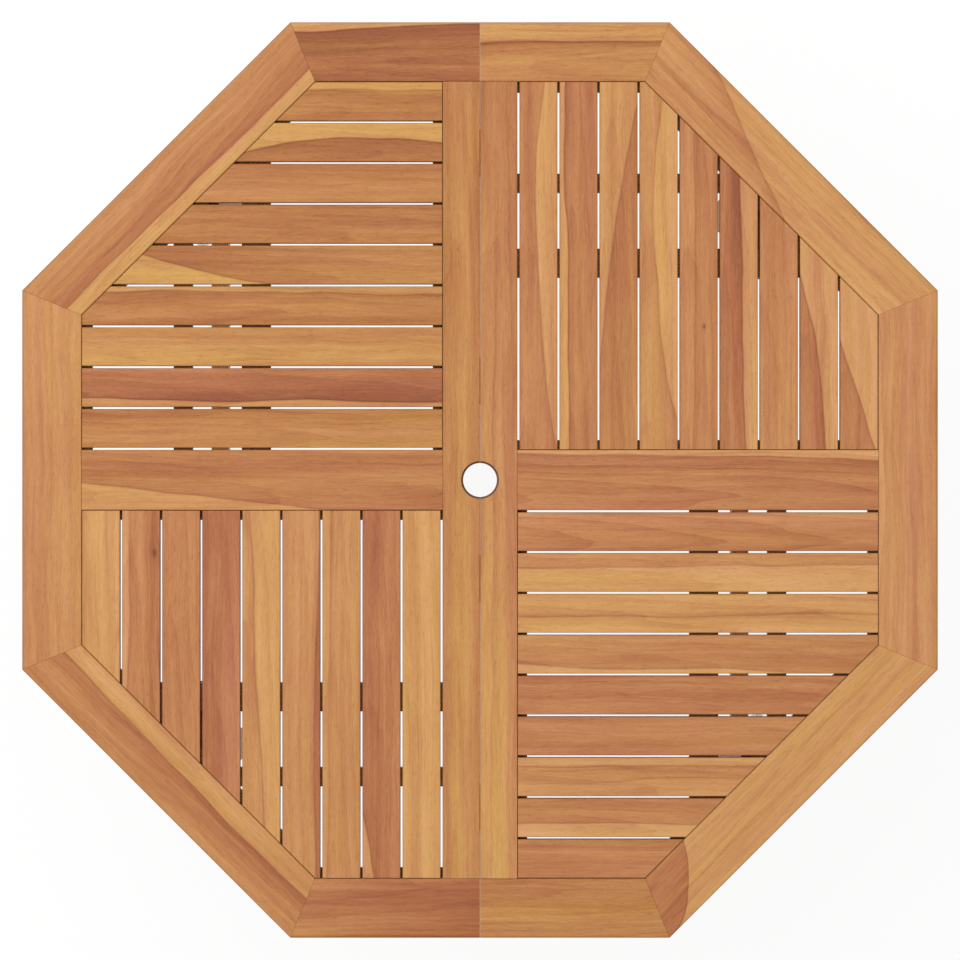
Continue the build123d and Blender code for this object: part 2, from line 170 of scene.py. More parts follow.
# Sizes in the grain, in metres where they are lengths.
SEED_SHIFT = (17.3, 5.1, 9.7)
WANDER_DEPTH = 0.016
LINE_EDGE = 0.0010
LINE_SHARPNESS = 760.0
RINGS_PER_METRE = 130.0
RING_CONTRAST = 2.2
RING_MEAN = 0.3
RING_WOBBLE = 1.6
PITH_DEPTH = 0.045
VEINS_PER_BAND = 6.0
VEIN_WIDTH = 0.09
VEINS_FROM = (0.0, 0.2)
PORES_FROM = (0.12, 0.22)
KNOT_STRETCH = 1.8
KNOT_FLOW = -0.75
KNOT_FLOW_FALL = -0.1
PAINTED_EDGE_WIDTH = 0.0018


def make_teak_grain():
    """Teak in a board's own frame: tone bands, a heartwood line, rings, veins, a knot, fibres, pores, end grain
    and painted shade.
    """
    tree, given, result = node_group(
        "teak_grain",
        [("Place", "Vector"), ("Board", "Vector"), ("Line", "Vector"), ("Figure", "Vector"),
         ("Change", "Vector"), ("Band", "Vector"), ("Knot", "Vector"), ("End", "Float")],
        [("Color", "Color"), ("Roughness", "Float"), ("Height", "Float")])
    along, across, up = split(tree, given["Place"])
    tone, rosy, seed = split(tree, given["Board"])
    line_at, line_slope, line_bow = split(tree, given["Line"])
    figure, pith, tilt = split(tree, given["Figure"])
    step, drift, half_width = split(tree, given["Change"])
    band, band_rate, line_strength = split(tree, given["Band"])
    knot_along, knot_across, knot_size = split(tree, given["Knot"])

    # Distance from the knot in knot sizes, squared; the grain flows round it.
    from_knot = math(tree, "SUBTRACT", across, knot_across)
    knot_x = math(tree, "SUBTRACT", along, knot_along)
    knot_x = math(tree, "DIVIDE", knot_x, math(tree, "MULTIPLY", knot_size, KNOT_STRETCH))
    knot_y = math(tree, "DIVIDE", from_knot, knot_size)
    knot_far = math(tree, "MULTIPLY_ADD", knot_x, knot_x, math(tree, "MULTIPLY", knot_y, knot_y))
    knot = math(tree, "EXPONENT", math(tree, "MULTIPLY", knot_far, -1.0))
    round_knot = math(tree, "EXPONENT", math(tree, "MULTIPLY", knot_far, KNOT_FLOW_FALL))
    around = math(tree, "MULTIPLY", math(tree, "MULTIPLY", from_knot, round_knot), KNOT_FLOW)

    shift = join(tree, *[math(tree, "MULTIPLY", seed, far) for far in SEED_SHIFT])
    seeded = vector_math(tree, "ADD", given["Place"], shift)
    wander = noise(tree, seeded, stretch=(5.5, 16.0, 16.0), detail=2.0)
    bend = math(tree, "MULTIPLY_ADD", wander, WANDER_DEPTH, around)
    across_bent = math(tree, "ADD", across, bend)
    bent = vector_math(tree, "ADD", seeded, join(tree, 0.0, bend, 0.0))

    # Heartwood line: a change of tone, a dark band that fades on its darker side, and a thin dark edge.
    line = math(tree, "MULTIPLY_ADD", along, line_slope, line_at)
    line = math(tree, "MULTIPLY_ADD", math(tree, "MULTIPLY", along, along), line_bow, line)
    past_line = math(tree, "SUBTRACT", across_bent, line)
    beyond = ease_between(tree, past_line, -LINE_EDGE, LINE_EDGE)
    darker_beyond = math(tree, "GREATER_THAN", step, 0.0)
    light_side = math(tree, "ABSOLUTE", math(tree, "SUBTRACT", darker_beyond, beyond))
    fade = math(tree, "EXPONENT", math(tree, "MULTIPLY", math(tree, "ABSOLUTE", past_line), band_rate))
    fade = math(tree, "MULTIPLY", fade, math(tree, "SUBTRACT", 1.0, light_side))
    line_tone = math(tree, "MULTIPLY_ADD", fade, band, math(tree, "MULTIPLY", step, beyond))
    near = math(tree, "MULTIPLY", past_line, LINE_SHARPNESS)
    thin_line = math(tree, "EXPONENT", math(tree, "MULTIPLY", math(tree, "MULTIPLY", near, near), -1.0))
    thin_line = math(tree, "MULTIPLY", thin_line, line_strength)

    bands = noise(tree, bent, stretch=(0.9, 36.0, 36.0), detail=2.0)
    streaks = noise(tree, bent, stretch=(3.2, 200.0, 200.0), detail=3.0)
    flecks = noise(tree, bent, stretch=(48.0, 520.0, 520.0), detail=3.0)
    fibres = noise(tree, bent, stretch=(16.0, 1300.0, 1300.0), detail=2.0)
    mottle = noise(tree, bent, stretch=(9.0, 46.0, 46.0), detail=2.0)
    pores = noise(tree, bent, stretch=(110.0, 1700.0, 1700.0), detail=1.0)
    pores = ease_between(tree, pores, *PORES_FROM)

    # Thin veins on contours of the bands, which come and go.
    contour = math(tree, "FRACT", math(tree, "MULTIPLY", bands, VEINS_PER_BAND))
    contour = math(tree, "ABSOLUTE", math(tree, "SUBTRACT", contour, 0.5))
    vein_here = noise(tree, seeded, stretch=(4.0, 12.0, 12.0), detail=1.0)
    vein_here = ease_between(tree, vein_here, *VEINS_FROM)
    vein = math(tree, "SUBTRACT", 1.0, ease_between(tree, contour, 0.0, VEIN_WIDTH))
    vein = math(tree, "MULTIPLY", vein, vein_here)

    # Growth rings round a pith below the board, which runs at a slight tilt to it.
    ring_y = math(tree, "ADD", across_bent, pith)
    ring_z = math(tree, "MULTIPLY_ADD", along, tilt, math(tree, "ADD", up, PITH_DEPTH))
    radius = math(tree, "SQRT", math(tree, "ADD", math(tree, "MULTIPLY", ring_y, ring_y),
                                     math(tree, "MULTIPLY", ring_z, ring_z)))
    phase = math(tree, "MULTIPLY_ADD", radius, RINGS_PER_METRE, math(tree, "MULTIPLY", bands, RING_WOBBLE))
    ring = math(tree, "POWER", math(tree, "FRACT", phase), RING_CONTRAST)
    ring_tone = math(tree, "MULTIPLY", math(tree, "SUBTRACT", ring, RING_MEAN), figure)

    # All of these add up to a place between honey and russet; stains, pores, end grain and painted shade then
    # darken its colour.
    total = math(tree, "ADD", tone, line_tone)
    total = add_shares(tree, total, (along, drift), (bands, 0.70), (streaks, 0.32), (flecks, 0.30),
                       (fibres, 0.16), (mottle, 0.28))
    total = math(tree, "ADD", total, ring_tone)
    colour = ramp(tree, total, HONEY_TO_RUSSET)
    blush = noise(tree, bent, stretch=(1.6, 60.0, 60.0), detail=2.0)
    warmth = add_shares(tree, rosy, (blush, ROSY_SPREAD))
    hue = vector_math(tree, "MULTIPLY_ADD", join(tree, warmth, warmth, warmth), ROSY_TINT)
    colour = vector_math(tree, "MULTIPLY", colour, hue)
    for mask, stain in ((thin_line, LINE_STAIN), (vein, VEIN_STAIN), (knot, KNOT_STAIN)):
        colour = vector_math(tree, "MULTIPLY", colour, vector_math(
            tree, "MULTIPLY_ADD", join(tree, mask, mask, mask), stain))
    # Painted shade: the colour darkens over the last 1.8 mm towards a board's long edges, where the rounded edge
    # turns from the light.
    past_edge = math(tree, "SUBTRACT", math(tree, "ABSOLUTE", across), half_width)
    edge = ease_between(tree, past_edge, -PAINTED_EDGE_WIDTH, 0.0)
    # Pores and end grain are darker wood; the long edges and the parasol hole's wall get painted shade.
    shade = 1.0
    for mask, share in ((pores, PORE_SHADE), (edge, PAINTED_EDGE_SHADE), (given["End"], END_GRAIN_AND_PAINTED_HOLE_SHADE)):
        shade = math(tree, "MULTIPLY", shade, add_shares(tree, 1.0, (mask, share)))
    put(tree, result["Color"], vector_math(tree, "MULTIPLY", colour, join(tree, shade, shade, shade)))
    rough = add_shares(tree, OIL_ROUGHNESS, (streaks, 0.12), (pores, 0.18), (given["End"], 0.2))
    put(tree, result["Roughness"], rough)
    put(tree, result["Height"], add_shares(tree, 0.0, (fibres, 0.7), (pores, -0.8)))
    return tree


teak_grain = make_teak_grain()


OIL_SHEEN = 0.22
GRAIN_RELIEF = 0.35
GRAIN_DEPTH = 0.0004


def finish_wood(material, group_node):
    """Joins the teak group to the material's own shader, with an oil's low sheen and the grain's relief."""
    tree = material.node_tree
    shader = tree.nodes["Principled BSDF"]
    shader.inputs["Specular IOR Level"].default_value = OIL_SHEEN
    bump = tree.nodes.new("ShaderNodeBump")
    bump.inputs["Strength"].default_value = GRAIN_RELIEF
    bump.inputs["Distance"].default_value = GRAIN_DEPTH
    put(tree, shader.inputs["Base Color"], group_node.outputs["Color"])
    put(tree, shader.inputs["Roughness"], group_node.outputs["Roughness"])
    put(tree, bump.inputs["Height"], group_node.outputs["Height"])
    put(tree, shader.inputs["Normal"], bump.outputs["Normal"])


def make_oiled_teak():
    """Oiled teak for boards that carry their own grain frame and character."""
    material = bpy.data.materials.new("oiled_teak")
    material.use_nodes = True
    tree = material.node_tree
    group = tree.nodes.new("ShaderNodeGroup")
    group.node_tree = teak_grain
    for socket, layer in (("Place", "grain"), ("Board", "board"), ("Line", "line"), ("Figure", "figure"),
                          ("Change", "change"), ("Band", "band"), ("Knot", "knot"), ("End", "end_grain_and_painted_hole_shade")):
        source = tree.nodes.new("ShaderNodeAttribute")
        source.attribute_name = layer
        put(tree, group.inputs[socket], source.outputs["Fac" if socket == "End" else "Vector"])
    finish_wood(material, group)
    return material


oiled_teak = make_oiled_teak()


def plank(low, high):
    """Square-edged board between two corners."""
    bm = bmesh.new()
    bmesh.ops.create_cube(bm, size=1.0)
    low, high = Vector(low), Vector(high)
    bmesh.ops.scale(bm, vec=high - low, verts=bm.verts)
    bmesh.ops.translate(bm, vec=(low + high) / 2, verts=bm.verts)
    return bm


def pull(bm, faces, step):
    """Extrudes faces by a step."""
    pulled = bmesh.ops.extrude_face_region(bm, geom=faces)["geom"]
    verts = [item for item in pulled if isinstance(item, bmesh.types.BMVert)]
    bmesh.ops.translate(bm, vec=step, verts=verts)
    bmesh.ops.recalc_face_normals(bm, faces=bm.faces)


SAW_TOLERANCE = 1e-7


def saw(bm, point, normal):
    """Saws off what lies on the normal's side of a plane, and closes the cut."""
    geometry = bm.verts[:] + bm.edges[:] + bm.faces[:]
    cut = bmesh.ops.bisect_plane(
        bm, geom=geometry, dist=SAW_TOLERANCE, plane_co=point, plane_no=normal, clear_outer=True)
    edges = [item for item in cut["geom_cut"] if isinstance(item, bmesh.types.BMEdge)]
    bmesh.ops.contextual_create(bm, geom=edges)


def ease(bm, edges, radius, segments):
    """Rounds the given edges."""
    bmesh.ops.bevel(bm, geom=edges, offset=radius, offset_type="OFFSET", segments=segments,
                    profile=0.5, affect="EDGES", clamp_overlap=True, material=-1)


SHARP_ANGLE = radians(40)
ALIGNED = 0.999


def sharp_edges(bm, along=None):
    """Edges with a clear corner, all of them or only those that run along a direction."""
    found = [edge for edge in bm.edges if edge.calc_face_angle(0.0) > SHARP_ANGLE]
    if along is None:
        return found
    return [edge for edge in found
            if abs((edge.verts[1].co - edge.verts[0].co).normalized().dot(along)) > ALIGNED]


NO_LINE = (-9.0, 0.0, 0.0)
NO_KNOT = (9.0, 9.0, 0.004)


def character(tone, rosy=0.0, line=NO_LINE, step=0.0, band=0.10, reach=0.015, drift=0.0,
              figure=0.10, tilt=0.03, knot=NO_KNOT):
    """How one board looks: its tone from honey 0 to russet 1, its warmth, and a heartwood line.

    The line is given by its place across the board in half widths, its change over the board's
    length and its bow; step is how much darker the wood is beyond it, and band how much darker still the
    dark side is at the line, fading over reach metres. Drift is how much darker the wood gets over the
    board's length, figure how strong the rings are, and tilt how steeply they run out of the face. A knot
    has a place along and across the board, in half lengths and half widths, and a size in metres.
    """
    return dict(tone=tone, rosy=rosy, line=line, step=step, band=band, reach=reach, drift=drift,
                figure=figure, tilt=tilt, knot=knot)


PITH_PLACE = 0.6
SEED_STEP = 0.618034
LINE_PER_STEP = 2.0
LINE_PER_BAND = 1.2
FACING = 0.9
board_number = 0


def lay_grain(bm, along, across, look, visible=None):
    """Gives every point of a board its place in the board's frame, and the board's character.

    The board's thickness is along the axis that is neither its length nor its width.
    """
    global board_number
    board_number += 1
    along, across = Vector(along), Vector(across)
    up = Vector((1, 1, 1)) - along - across
    reach = [vert.co.dot(along) for vert in bm.verts]
    if visible is None:
        spread = [vert.co.dot(across) for vert in bm.verts]
        visible = (min(spread), max(spread))
    length = max(reach) - min(reach)
    middle = (max(reach) + min(reach)) / 2
    centre = (visible[0] + visible[1]) / 2
    half_width = (visible[1] - visible[0]) / 2
    top = max(vert.co.dot(up) for vert in bm.verts)
    at, slope, bow = look["line"]
    knot_along, knot_across, knot_size = look["knot"]
    line_strength = min(1.0, LINE_PER_STEP * abs(look["step"]) + LINE_PER_BAND * look["band"])
    layers = {
        "board": (look["tone"], look["rosy"], (board_number * SEED_STEP) % 1.0),
        "line": (half_width * at, half_width * slope / length, half_width * bow / length ** 2),
        "figure": (look["figure"], half_width * PITH_PLACE, look["tilt"]),
        "change": (look["step"], look["drift"] / length, half_width),
        "band": (look["band"], -1.0 / look["reach"], line_strength),
        "knot": (length / 2 * knot_along, half_width * knot_across, knot_size),
    }
    grain = bm.verts.layers.float_vector.new("grain")
    for vert in bm.verts:
        vert[grain] = (vert.co.dot(along) - middle, vert.co.dot(across) - centre, vert.co.dot(up) - top)
    for name, values in layers.items():
        layer = bm.verts.layers.float_vector.new(name)
        for vert in bm.verts:
            vert[layer] = values
    # End grain is marked 1 here; the wall of the parasol hole is later marked higher, as painted shade.
    end_grain_and_painted_hole_shade = bm.faces.layers.float.new("end_grain_and_painted_hole_shade")
    for face in bm.faces:
        face[end_grain_and_painted_hole_shade] = 1.0 if abs(face.normal.dot(along)) > FACING else 0.0


def set_piece(name, bm, material, slot, body, *nodes):
    """Turns a modelled shape into a piece that rides on a body and stands for its CAD nodes."""
    mesh = bpy.data.meshes.new(name)
    bm.to_mesh(mesh)
    bm.free()
    mesh.shade_smooth()
    mesh.materials.append(material)
    piece = bpy.data.objects.new(name, mesh)
    bpy.context.scene.collection.objects.link(piece)
    piece.modifiers.new("flat_faces", "WEIGHTED_NORMAL").keep_sharp = True
    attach(piece, body)
    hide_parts(*nodes)


side_low, side_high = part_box("right_side_rail")
rim_edge = side_high.x
lip_edge = side_low.x
panel_edge = rim_edge - RAIL_WIDTH
top_z = side_high.z
board_z = side_low.z
slat_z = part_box("left_rear_slats")[0].z
seam_edge = -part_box("left_rear_end_rail")[1].x


def outer_rail(facing, ends, look):
    """One rail made with its outer face towards +X, sawn at both ends and turned to its side."""
    bm = bmesh.new()
    section = [(rim_edge, board_z), (rim_edge, top_z), (panel_edge, top_z),
               (panel_edge, slat_z), (lip_edge, slat_z), (lip_edge, board_z)]
    face = bm.faces.new([bm.verts.new((x, -rim_edge, z)) for x, z in section])
    pull(bm, [face], (0, 2 * rim_edge, 0))
    for point, normal in ends:
        saw(bm, point, normal)
    bmesh.ops.recalc_face_normals(bm, faces=bm.faces)
    run = sharp_edges(bm, Vector((0, 1, 0)))
    ease(bm, [edge for edge in run if edge.verts[0].co.x > rim_edge - TOLERANCE], OUTER_ROUND, segments=4)
    ease(bm, sharp_edges(bm, Vector((0, 1, 0))), ARRIS, segments=2)
    ease(bm, sharp_edges(bm), JOINT_ARRIS, segments=1)
    lay_grain(bm, (0, 1, 0), (1, 0, 0), look, (panel_edge, rim_edge))
    bmesh.ops.rotate(bm, cent=(0, 0, 0), matrix=Matrix.Rotation(radians(facing), 3, "Z"), verts=bm.verts)
    return bm


def mitre(way):
    """Sawing plane of a corner: through the table's middle, a sixteenth of a turn from the rail's own."""
    angle = MITRE_ANGLE * way
    return (0, 0, 0), (-sin(angle) * way, cos(angle) * way, 0)


def seam_cut(way):
    """Sawing plane of a half end rail, square across at the seam."""
    return (0, -way * seam_edge, 0), (0, way, 0)


# For each rail: where it faces in degrees, which of its ends meets the seam (0 for none), and its look.
rails = {
    "left_rear_end_rail": (90, -1, character(0.84, -0.2, (0.81, -0.22, 0.0), -0.48, 0.20, 0.03)),
    "left_rear_diagonal_rail": (135, 0, character(0.38, -0.1, (-0.50, 0.13, 0.0), 0.12, 0.30, 0.022)),
    "left_side_rail": (180, 0, character(0.44, 0.25, figure=0.06)),
    "left_front_diagonal_rail": (225, 0, character(0.36, 0.1, (-0.27, 0.2, -0.3), 0.22, 0.16, 0.02)),
    "left_front_end_rail": (270, 1, character(0.74, 0.15, drift=0.30)),
    "right_front_end_rail": (270, -1, character(0.54, -0.4)),
    "right_front_diagonal_rail": (315, 0, character(0.68, 0.1, (-10.5, -46.0, -46.0), -0.34, 0.06)),
    "right_side_rail": (0, 0, character(0.32, 0.65, (-0.80, 0.1, -1.8), 0.10, 0.06, 0.02, figure=0.06)),
    "right_rear_diagonal_rail": (45, 0, character(0.44, 0.1, (-0.60, 4.9, 0.0), -0.09, 0.18, 0.012)),
    "right_rear_end_rail": (90, 1, character(0.55, -0.3, (0.34, -0.1, 0.0), -0.10, 0.38, 0.008)),
}
for node, (facing, seam_way, look) in rails.items():
    ends = [seam_cut(way) if way == seam_way else mitre(way) for way in (-1, 1)]
    half = node.split("_")[0]
    bm = outer_rail(facing, ends, look)
    set_piece(node + "_board", bm, oiled_teak, "teak", half + "_half_top", node)

# Centre stiles: two teak boards side by side along the seam, one on each half top.
# Each is tenoned into the end rails and lapped over their lips, has a rebated lip for the slats that end
# on it, and half of the round parasol hole sawn into its seam edge.
HOLE_STEPS = 30
HOLE_TAPER = 0.055
# The parasol hole's wall is painted half as dark again as end grain, for the shade that falls inside the hole.
PAINTED_HOLE_SHADE = 1.5
UPRIGHT = 0.3
STILE_ARRIS = 0.0008
lip_width = panel_edge - lip_edge
slat_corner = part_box("left_rear_slats")[1]
slat_clearance = panel_edge - slat_corner.y
stile_edge = -slat_corner.x - slat_clearance
hole_radius = frame["record"]["mounts"][0]["dims"]["r_mm"] / 1000
middle_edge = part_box("left_rear_wide_batten")[0].y


def faces_towards(bm, direction, inside):
    """Faces that look in a direction and whose middles pass a test."""
    direction = Vector(direction)
    return [face for face in bm.faces
            if face.normal.dot(direction) > FACING and inside(face.calc_center_median())]


def score(bm, point, normal):
    """Splits faces along a plane and keeps both sides."""
    geometry = bm.verts[:] + bm.edges[:] + bm.faces[:]
    bmesh.ops.bisect_plane(bm, geom=geometry, dist=SAW_TOLERANCE, plane_co=point, plane_no=normal)


def close_outline(bm, chain):
    """Joins points one after another into a face."""
    for first, second in zip(chain, chain[1:] + chain[:1]):
        if bm.edges.get((first, second)) is None:
            bm.edges.new((first, second))
    bmesh.ops.contextual_create(bm, geom=bm.edges[:])


def spin_point(bm, point, centre, axis, angle, steps):
    """Points of an arc that starts at a point, in order."""
    start = bm.verts.new(point)
    bmesh.ops.spin(bm, geom=[start], cent=centre, axis=axis, angle=angle, steps=steps)
    bm.verts.ensure_lookup_table()
    return bm.verts[:]


def centre_stile():
    """The left stile: outline with its half hole, then the lap over the end rails and the lip."""
    bm = bmesh.new()
    reach = (hole_radius ** 2 - seam_edge ** 2) ** 0.5
    sweep = pi - 2 * asin(seam_edge / hole_radius)
    arc = spin_point(bm, (-seam_edge, reach, slat_z), (0, 0, slat_z), (0, 0, 1), sweep, HOLE_STEPS)
    corners = [(-seam_edge, -panel_edge), (-stile_edge, -panel_edge),
               (-stile_edge, panel_edge), (-seam_edge, panel_edge)]
    close_outline(bm, arc + [bm.verts.new((x, y, slat_z)) for x, y in corners])
    pull(bm, bm.faces[:], (0, 0, top_z - slat_z))
    for y in (-lip_edge, middle_edge, lip_edge):
        score(bm, (0, y, 0), (0, 1, 0))
    underside = faces_towards(bm, (0, 0, -1), lambda middle: abs(middle.y) < lip_edge)
    pull(bm, underside, (0, 0, board_z - slat_z))
    ledge = faces_towards(
        bm, (-1, 0, 0), lambda middle: middle.z < slat_z and middle_edge < middle.y < lip_edge)
    pull(bm, ledge, (-lip_width, 0, 0))
    for height, factor in ((top_z, 1 + HOLE_TAPER), (board_z, 1 - HOLE_TAPER)):
        ring = [vert for vert in bm.verts
                if abs(vert.co.z - height) < TOLERANCE
                and hypot(vert.co.x, vert.co.y) < hole_radius + TOLERANCE]
        bmesh.ops.scale(bm, vec=(factor, factor, 1), verts=ring)
    return bm


def round_arrises(bm, along, radius):
    """Takes the sharpness off a board: its long edges by a radius, its joints by a hair."""
    ease(bm, sharp_edges(bm, Vector(along)), radius, segments=3)
    ease(bm, sharp_edges(bm), JOINT_ARRIS, segments=1)


def turn_half(bm):
    """Turns a shape made for the left half top round to the right one."""
    bmesh.ops.rotate(bm, cent=(0, 0, 0), matrix=Matrix.Rotation(pi, 3, "Z"), verts=bm.verts)


stile_looks = {
    "left": character(0.57, -0.4, drift=0.24, figure=0.08),
    "right": character(0.49, 0.0, (-0.30, 0.3, 0.0), 0.02, 0.10, 0.004, 0.40, 0.08),
}
for half, look in stile_looks.items():
    node = half + "_centre_stile"
    bm = centre_stile()
    round_arrises(bm, (0, 1, 0), STILE_ARRIS)
    visible = (-stile_edge, -seam_edge)
    if half == "right":
        turn_half(bm)
        visible = (seam_edge, stile_edge)
    lay_grain(bm, (0, 1, 0), (1, 0, 0), look, visible)
    # Painted shade: faces of the parasol hole's wall are marked darker than end grain.
    end_grain_and_painted_hole_shade = bm.faces.layers.float["end_grain_and_painted_hole_shade"]
    for face in bm.faces:
        middle = face.calc_center_median()
        if abs(face.normal.z) < UPRIGHT and hypot(middle.x, middle.y) < hole_radius * (1 + HOLE_TAPER):
            face[end_grain_and_painted_hole_shade] = PAINTED_HOLE_SHADE
    set_piece(node + "_board", bm, oiled_teak, "teak", half + "_half_top", node)

# Middle rails: one broad teak board on each half top, across from the side rail to the stile.
# Each is tenoned at both ends, lapped over the side rail's lip, and has a lip along one edge for the
# slats that run towards it.


def middle_rail():
    """The left middle rail."""
    bm = plank((-panel_edge, -middle_edge, slat_z), (-stile_edge, middle_edge, top_z))
    score(bm, (-lip_edge, 0, 0), (1, 0, 0))
    underside = faces_towards(bm, (0, 0, -1), lambda middle: middle.x > -lip_edge)
    pull(bm, underside, (0, 0, board_z - slat_z))
    ledge = faces_towards(bm, (0, -1, 0), lambda middle: middle.z < slat_z)
    pull(bm, ledge, (0, -lip_width, 0))
    return bm


middle_looks = {
    "left": character(0.38, 0.0, (-0.76, -1.26, 0.0), 0.24),
    "right": character(0.62, 0.3, (0.82, -0.2, 0.0), -0.30, figure=0.16),
}
for half, look in middle_looks.items():
    node = half + "_middle_rail"
    bm = middle_rail()
    round_arrises(bm, (1, 0, 0), ARRIS)
    if half == "right":
        turn_half(bm)
    lay_grain(bm, (1, 0, 0), (0, 1, 0), look, (-middle_edge, middle_edge))
    set_piece(node + "_board", bm, oiled_teak, "teak", half + "_half_top", node)

# Slats: nine teak boards in each quarter, lying on the lips with an even gap between them.
# They turn the other way from one quarter to the next, and the outer ones are sawn off along the
# diagonal rail. Their edges are eased and they are screwed down from below, through the battens.
SLAT_COUNT = 9
SLAT_GAP = 0.0028
SLAT_ARRIS = 0.0010
slant = panel_edge - slat_clearance
rear_left = Vector((-1, 1, 0)).normalized()
front_left = Vector((-1, -1, 0)).normalized()


def rear_slat(number):
    """A slat of the left rear quarter, counted from the middle rail outwards; it runs along X."""
    low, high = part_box("left_rear_slats")
    pitch = (high.y - low.y + SLAT_GAP) / SLAT_COUNT
    near = low.y + number * pitch
    bm = plank((low.x, near, slat_z), (high.x, near + pitch - SLAT_GAP, top_z))
    saw(bm, rear_left * slant, rear_left)
    return bm


def front_slat(number):
    """A slat of the left front quarter, counted from the stile outwards; it runs along Y."""
    low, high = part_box("left_front_slats")
    pitch = (high.x - low.x + SLAT_GAP) / SLAT_COUNT
    near = high.x - number * pitch
    bm = plank((near - pitch + SLAT_GAP, low.y, slat_z), (near, high.y, top_z))
    saw(bm, front_left * slant, front_left)
    return bm


# For each quarter: its slats from the middle rail or the stile outwards.
slat_looks = {
    "left_rear": [
        character(0.65, -0.6),
        character(0.36, 0.3, (-0.64, -0.2, 0.0), 0.42, 0.12),
        character(0.49, -0.6, figure=0.06),
        character(0.63, -0.6, (0.70, -0.2, 0.0), -0.24),
        character(0.36, -0.8, (-1.0, -2.0, 4.2), 0.30, 0.12, drift=-0.14),
        character(0.72, -0.5),
        character(0.65, -0.2, figure=0.06),
        character(0.77, -0.6, (0.25, 0.6, -1.9), -0.40, 0.12),
        character(0.58, -0.8, (0.60, 0.0, 0.0), -0.20),
    ],
    "left_front": [
        character(0.30, -0.1, figure=0.05),
        character(0.36, 0.6, (-2.0, -3.2, 0.0), 0.30, figure=0.08),
        character(0.38, 0.1, (-0.70, 0.2, 0.0), 0.08, 0.12, 0.006),
        character(0.45, 0.3, (0.78, 0.1, 0.0), 0.18, figure=0.06),
        character(0.46, 0.1, (-0.20, -0.8, 0.0), -0.15, 0.16, 0.006),
        character(0.70, 0.8, drift=0.08),
        character(0.58, 0.2),
        character(0.44, 0.5, (-0.66, 0.05, 0.0), 0.19, 0.10, 0.008, figure=0.12, knot=(0.6, 0.7, 0.003)),
        character(0.36, 0.1, figure=0.05),
    ],
    "right_rear": [
        character(0.58, 0.2, (-0.10, -0.65, 2.7), -0.22, 0.06),
        character(0.30, 0.3, (-0.60, -0.27, 0.0), 0.36),
        character(0.34, -0.1, (-0.45, 2.6, 1.5), 0.20),
        character(0.46, 0.0, (-0.15, -0.9, 4.0), -0.14, 0.14, 0.006, figure=0.08),
        character(0.52, 0.3, (-0.25, 0.1, 0.0), 0.14, knot=(-0.26, 0.28, 0.002)),
        character(0.67, 0.5, (0.20, -0.35, 0.0), -0.33, drift=0.24),
        character(0.53, 0.3, drift=0.14),
        character(0.58, 0.5, (-0.16, -1.96, -2.1), -0.30),
        character(0.54, 0.6, (-0.70, -3.2, 0.0), -0.28),
    ],
    "right_front": [
        character(0.60, 0.35, figure=0.16, tilt=0.05),
        character(0.26, 0.1, (0.30, 0.1, 0.0), 0.17),
        character(0.27, 0.0, (-0.10, 0.2, 0.0), 0.06, 0.22, 0.004, figure=0.14),
        character(0.30, 0.1, (-0.80, -0.6, 0.0), 0.20),
        character(0.64, 0.4),
        character(0.56, 0.4, figure=0.06),
        character(0.38, 0.2, (0.52, 0.06, 0.0), -0.16, 0.12),
        character(0.25, 0.2, (-0.28, 0.05, 0.0), 0.25),
        character(0.60, 0.3, figure=0.06),
    ],
}
for quarter, looks in slat_looks.items():
    runs_across = quarter in ("left_rear", "right_front")
    half = quarter.split("_")[0]
    along, across = ((1, 0, 0), (0, 1, 0)) if runs_across else ((0, 1, 0), (1, 0, 0))
    for number, look in enumerate(looks):
        bm = rear_slat(number) if runs_across else front_slat(number)
        round_arrises(bm, along, SLAT_ARRIS)
        if half == "right":
            turn_half(bm)
        lay_grain(bm, along, across, look)
        name = f"{quarter}_slat_{number + 1}"
        set_piece(name, bm, oiled_teak, "teak", half + "_half_top", quarter + "_slats")

# Battens: two flat teak strips under the slats of each quarter, one wide and one narrow.
# They lie across the slats, end at the lips of the frame, and are screwed up into every slat.
BATTEN_ARRIS = 0.0015


def batten(node, lip_side):
    """A batten in its CAD place, sawn off along the lip of the diagonal rail."""
    bm = plank(*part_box(node))
    saw(bm, lip_side * lip_edge, lip_side)
    return bm


for half, half_way in (("left", -1), ("right", 1)):
    for end, end_way in (("front", -1), ("rear", 1)):
        lip_side = Vector((half_way, end_way, 0)).normalized()
        for width, look in (("wide", character(0.62, 0.2)), ("narrow", character(0.50, 0.2))):
            node = f"{half}_{end}_{width}_batten"
            low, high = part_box(node)
            bm = batten(node, lip_side)
            along_y = high.y - low.y > high.x - low.x
            along, across = ((0, 1, 0), (1, 0, 0)) if along_y else ((1, 0, 0), (0, 1, 0))
            round_arrises(bm, along, BATTEN_ARRIS)
            lay_grain(bm, along, across, look)
            set_piece(node + "_board", bm, oiled_teak, "teak", half + "_half_top", node)

# Pivot blocks: short, thick teak blocks screwed up under the battens, one beside each leg.
# The leg turns against the block on a bolt; the blocks keep their CAD shape with its chamfers and bores.
BLOCK_LOOK = {
    "Board": (0.58, 0.2, 0.37),
    "Line": NO_LINE,
    "Figure": (0.10, 0.02, 0.05),
    "Change": (0.0, 0.0, 1.0),
    "Knot": NO_KNOT,
}


def dress(nodes, material):
    """Gives CAD nodes that stay as they are a finished material."""
    for node in nodes:
        for material_slot in frame["nodes"][node].material_slots:
            material_slot.material = material


